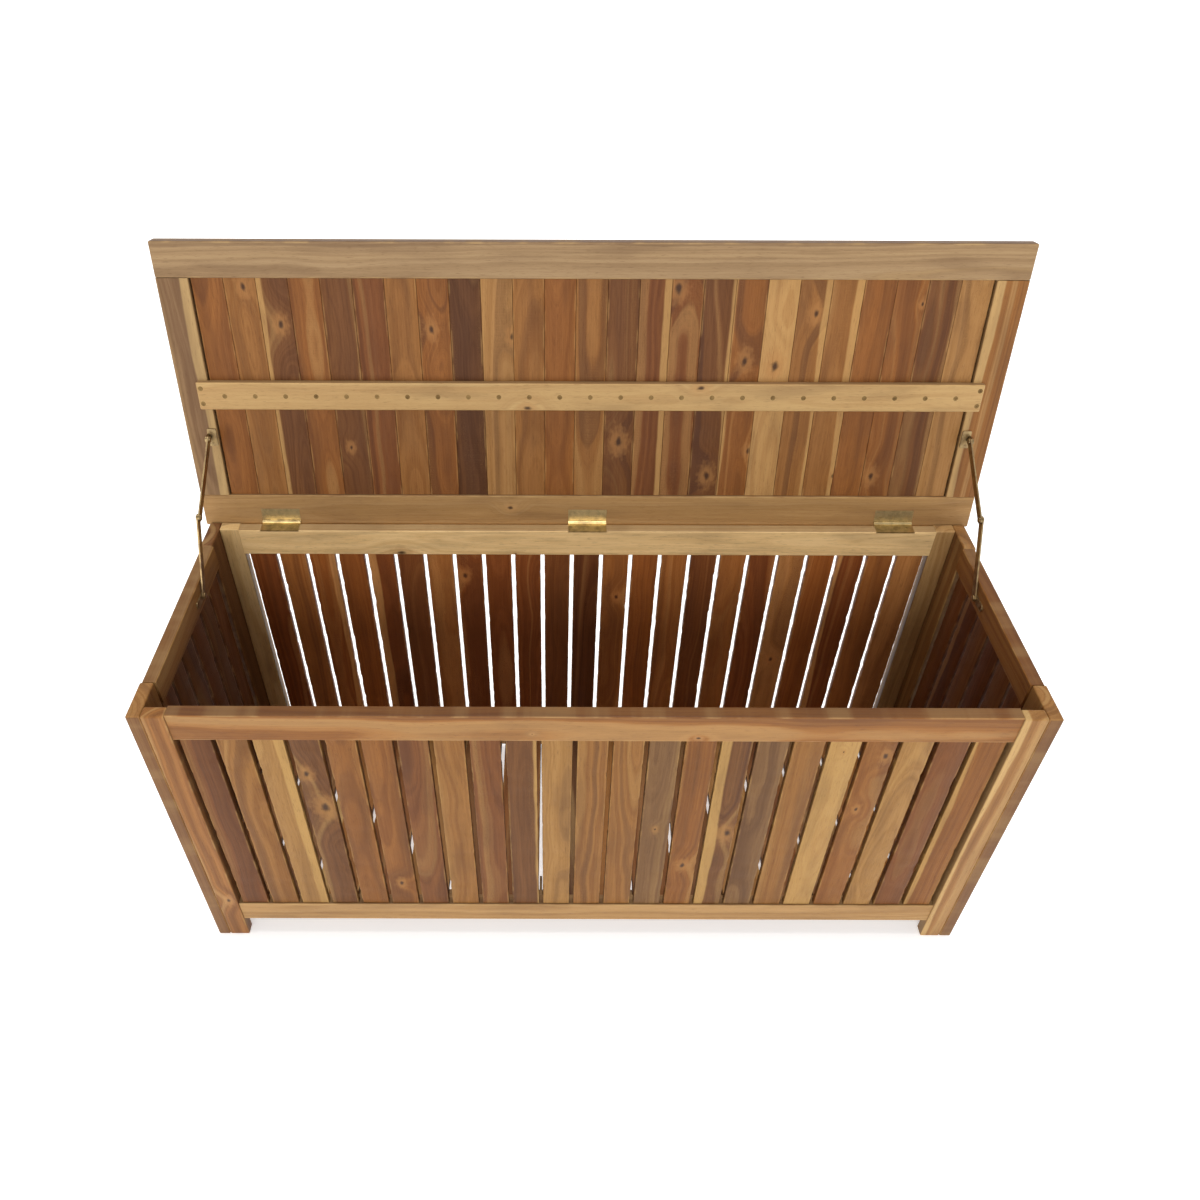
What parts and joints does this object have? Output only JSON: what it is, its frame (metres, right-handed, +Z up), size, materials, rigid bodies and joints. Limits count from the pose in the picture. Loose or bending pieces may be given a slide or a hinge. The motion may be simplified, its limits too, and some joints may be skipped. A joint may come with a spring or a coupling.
{
  "type": "deck storage box",
  "caption": "Slatted wooden storage box on post feet, with a hinged plank lid that folding stays hold open.",
  "frame": {"origin": "on the ground, under the middle of the open box's bounding box", "axes": "+X to the right along the box's length, +Y to the back where the lid is hinged, +Z up"},
  "size_m": [1.17, 0.4918, 0.9119],
  "materials": {
    "frame_wood": "oiled acacia, satin",
    "slat_wood": "oiled acacia, satin, strong variation",
    "pale_wood": "oiled acacia sapwood, satin",
    "lid_frame_wood": "oiled acacia, weathered satin",
    "lid_plank_wood": "oiled acacia, satin",
    "hinge_brass": "polished brass",
    "stay_brass": "tarnished brass",
    "screw_steel": "zinc plated"
  },
  "bodies": {
    "box": {"back_bottom_rail": "frame_wood", "back_cleat": "pale_wood", "back_left_stile": "frame_wood", "back_right_stile": "frame_wood", "back_slats": "slat_wood", "back_top_rail": "pale_wood", "floor_boards": "slat_wood", "floor_screws": "screw_steel", "front_bottom_rail": "frame_wood", "front_cleat": "pale_wood", "front_left_stile": "frame_wood", "front_right_stile": "frame_wood", "front_slats": "slat_wood", "front_top_rail": "frame_wood", "hinge_base_screws": "hinge_brass", "left_back_stile": "frame_wood", "left_bottom_rail": "frame_wood", "left_front_stile": "frame_wood", "left_hinge_base_leaf": "hinge_brass", "left_hinge_pin": "hinge_brass", "left_slats": "slat_wood", "left_stay_box_bracket": "stay_brass", "left_stay_lower_rivet": "stay_brass", "left_top_rail": "frame_wood", "middle_hinge_base_leaf": "hinge_brass", "middle_hinge_pin": "hinge_brass", "right_back_stile": "frame_wood", "right_bottom_rail": "frame_wood", "right_front_stile": "frame_wood", "right_hinge_base_leaf": "hinge_brass", "right_hinge_pin": "hinge_brass", "right_slats": "slat_wood", "right_stay_box_bracket": "stay_brass", "right_stay_lower_rivet": "stay_brass", "right_top_rail": "frame_wood", "stay_box_screws": "stay_brass"},
    "lid": {"lid_front_rail": "lid_frame_wood", "lid_rear_rail": "lid_frame_wood", "lid_left_stile": "lid_frame_wood", "lid_right_stile": "lid_frame_wood", "lid_planks": "lid_plank_wood", "lid_batten": "pale_wood", "batten_screws": "screw_steel", "hinge_lid_screws": "hinge_brass", "stay_lid_screws": "stay_brass", "left_hinge_lid_leaf": "hinge_brass", "middle_hinge_lid_leaf": "hinge_brass", "right_hinge_lid_leaf": "hinge_brass", "left_stay_lid_bracket": "stay_brass", "left_stay_upper_rivet": "stay_brass", "right_stay_lid_bracket": "stay_brass", "right_stay_upper_rivet": "stay_brass"},
    "left_stay_lower_arm": {"left_stay_lower_arm": "stay_brass", "left_stay_middle_rivet": "stay_brass"},
    "left_stay_upper_arm": {"left_stay_upper_arm": "stay_brass", "left_stay_middle_cap": "stay_brass"},
    "right_stay_lower_arm": {"right_stay_lower_arm": "stay_brass", "right_stay_middle_rivet": "stay_brass"},
    "right_stay_upper_arm": {"right_stay_upper_arm": "stay_brass", "right_stay_middle_cap": "stay_brass"}
  },
  "joints": [
    {"name": "lid_hinge", "type": "hinge", "parent": "box", "child": "lid", "pos_m": [0, 0.15513, 0.5106], "axis": [1, 0, 0], "range_deg": [0, 100]},
    {"name": "left_stay_lower_pivot", "type": "hinge", "parent": "box", "child": "left_stay_lower_arm", "pos_m": [-0.5542, 0.01013, 0.4866], "axis": [1, 0, 0], "range_deg": [0, 124.34]},
    {"name": "left_stay_upper_pivot", "type": "hinge", "parent": "lid", "child": "left_stay_upper_arm", "pos_m": [-0.5519, 0.17006, 0.64708], "axis": [1, 0, 0], "range_deg": [-120.03, 0]},
    {"name": "right_stay_lower_pivot", "type": "hinge", "parent": "box", "child": "right_stay_lower_arm", "pos_m": [0.5542, 0.01013, 0.4866], "axis": [1, 0, 0], "range_deg": [0, 124.34]},
    {"name": "right_stay_upper_pivot", "type": "hinge", "parent": "lid", "child": "right_stay_upper_arm", "pos_m": [0.5519, 0.17006, 0.64708], "axis": [1, 0, 0], "range_deg": [-120.03, 0]}
  ],
  "couplings": [
    {"joint": "left_stay_lower_pivot", "follows": "lid_hinge", "ratio": 1.2429},
    {"joint": "left_stay_upper_pivot", "follows": "lid_hinge", "ratio": -1.1998},
    {"joint": "right_stay_lower_pivot", "follows": "lid_hinge", "ratio": 1.2429},
    {"joint": "right_stay_upper_pivot", "follows": "lid_hinge", "ratio": -1.1998}
  ]
}
